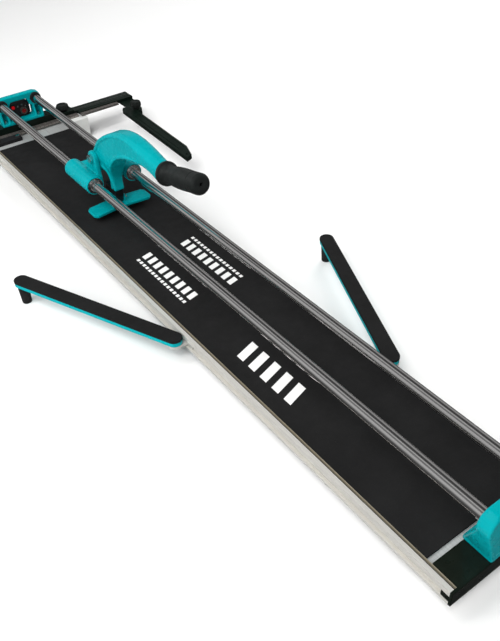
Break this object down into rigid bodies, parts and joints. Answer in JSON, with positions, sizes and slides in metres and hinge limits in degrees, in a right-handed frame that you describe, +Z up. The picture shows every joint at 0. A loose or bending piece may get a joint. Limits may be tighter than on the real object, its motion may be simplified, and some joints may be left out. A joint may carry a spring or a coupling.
{
  "type": "tile cutter",
  "caption": "Manual rail tile cutter: long padded base, twin guide rails, sliding carriage with a lever, wheel and breaker foot, folding support arms, sliding side fence.",
  "frame": {"origin": "middle of the underside of the long base extrusion", "axes": "+Y along the rails from the operator's end to the fence end, +X to the operator's right, +Z up"},
  "size_m": [0.5497, 1.5, 0.2641],
  "materials": {
    "extrusion_aluminium": "satin anodised, long brushed grain",
    "pad_rubber": "matt black work pad with a fine texture",
    "break_bar_steel": "ground steel ridge",
    "cap_plastic": "black moulded plastic",
    "stand_paint": "light grey powder coat",
    "foot_rubber": "matt black rubber",
    "teal_paint": "glossy teal powder coat over cast metal",
    "rail_chrome": "polished hard chrome",
    "bright_screw": "bright zinc plated",
    "bearing_steel": "ground bearing steel",
    "grip_rubber": "dark grey soft grip",
    "tool_steel": "blackened tool steel",
    "carbide": "ground carbide",
    "arm_paint": "bright teal powder coat",
    "bracket_paint": "light grey coat",
    "black_anodised": "black anodised, fine ridges",
    "rule_metal": "worn bronze-grey rule",
    "knob_plastic": "black moulded knob",
    "housing_plastic": "black moulded housing",
    "barrel_metal": "dark brown-grey turned metal",
    "lens_glass": "clear red window",
    "button_red": "red push button"
  },
  "bodies": {
    "base": {"base_extrusion": "extrusion_aluminium", "left_pad": "pad_rubber", "right_pad": "pad_rubber", "break_bar": "break_bar_steel", "near_end_cap": "cap_plastic", "far_end_cap": "cap_plastic", "near_stand": "stand_paint", "far_stand": "stand_paint", "stand_pads": "foot_rubber", "stand_screws": "bright_screw", "near_rail_bracket": "teal_paint", "far_rail_bracket": "teal_paint", "near_bracket_screws": "bright_screw", "far_bracket_screws": "bright_screw", "left_rail": "rail_chrome", "right_rail": "rail_chrome", "rail_bumpers": "foot_rubber", "fence_rail": "black_anodised", "scale_strip": "rule_metal", "laser_housing": "housing_plastic", "laser_barrel": "barrel_metal", "laser_lens": "lens_glass", "laser_screws": "bright_screw", "deck_stop": "housing_plastic", "deck_stop_screw": "bright_screw"},
    "carriage": {"carriage_body": "teal_paint", "linear_bearings": "bearing_steel", "retaining_rings": "rail_chrome", "pivot_bolt": "bright_screw", "pivot_nut": "bright_screw"},
    "lever": {"lever_body": "teal_paint", "lever_grip": "grip_rubber", "wheel_holder": "tool_steel", "wheel_axle": "bright_screw", "foot_pin": "bright_screw"},
    "wheel": {"cutting_wheel": "carbide"},
    "foot": {"breaker_foot": "teal_paint"},
    "left_slide": {"left_arm_bracket": "bracket_paint", "left_arm_bolt": "bright_screw"},
    "left_arm": {"left_arm_channel": "arm_paint", "left_arm_pad": "pad_rubber", "left_arm_foot": "foot_rubber"},
    "right_slide": {"right_arm_bracket": "bracket_paint", "right_arm_bolt": "bright_screw"},
    "right_arm": {"right_arm_channel": "arm_paint", "right_arm_pad": "pad_rubber", "right_arm_foot": "foot_rubber"},
    "fence_bar": {"fence_slider": "black_anodised", "slider_scale": "rule_metal", "fence_elbow": "black_anodised", "elbow_rivets": "bright_screw"},
    "clamp_knob": {"fence_clamp_knob": "knob_plastic"},
    "stop": {"stop_arm": "black_anodised"},
    "stop_knob": {"stop_arm_knob": "knob_plastic"},
    "button": {"laser_button": "button_red"}
  },
  "joints": [
    {"name": "carriage_slide", "type": "slide", "parent": "base", "child": "carriage", "axis": [0, 1, 0], "range_m": [-0.845, 0.372]},
    {"name": "lever_hinge", "type": "hinge", "parent": "carriage", "child": "lever", "pos_m": [0, 0.25, 0.1346], "axis": [1, 0, 0], "range_deg": [-24, 7]},
    {"name": "wheel_spin", "type": "hinge", "parent": "lever", "child": "wheel", "pos_m": [0, 0.246, 0.0375], "axis": [1, 0, 0], "continuous": true},
    {"name": "foot_tilt", "type": "hinge", "parent": "lever", "child": "foot", "pos_m": [0, 0.218, 0.0515], "axis": [1, 0, 0], "range_deg": [-8, 8]},
    {"name": "left_arm_slide", "type": "slide", "parent": "base", "child": "left_slide", "axis": [0, 1, 0], "range_m": [-0.3, 0.25]},
    {"name": "left_arm_swing", "type": "hinge", "parent": "left_slide", "child": "left_arm", "pos_m": [-0.1185, -0.182, 0], "axis": [0, 0, 1], "range_deg": [-22.4, 90]},
    {"name": "right_arm_slide", "type": "slide", "parent": "base", "child": "right_slide", "axis": [0, 1, 0], "range_m": [-0.15, 0.45]},
    {"name": "right_arm_swing", "type": "hinge", "parent": "right_slide", "child": "right_arm", "pos_m": [0.1185, -0.426, 0], "axis": [0, 0, 1], "range_deg": [-90, 22.4]},
    {"name": "fence_slide", "type": "slide", "parent": "base", "child": "fence_bar", "axis": [1, 0, 0], "range_m": [-0.005, 0.06]},
    {"name": "clamp_knob_turn", "type": "hinge", "parent": "base", "child": "clamp_knob", "pos_m": [0.1056, 0.712, 0.0385], "axis": [0, 0, 1], "range_deg": [0, 180]},
    {"name": "stop_arm_swing", "type": "hinge", "parent": "fence_bar", "child": "stop", "pos_m": [0.252, 0.603, 0.035], "axis": [0, 0, 1], "range_deg": [-4, 90]},
    {"name": "stop_knob_turn", "type": "hinge", "parent": "fence_bar", "child": "stop_knob", "pos_m": [0.252, 0.603, 0.045], "axis": [0, 0, 1], "range_deg": [0, 180]},
    {"name": "laser_button_press", "type": "slide", "parent": "base", "child": "button", "axis": [0, 1, 0], "range_m": [0, 0.0015], "stiffness_N_per_m": 400, "springref_m": -0.0005}
  ]
}
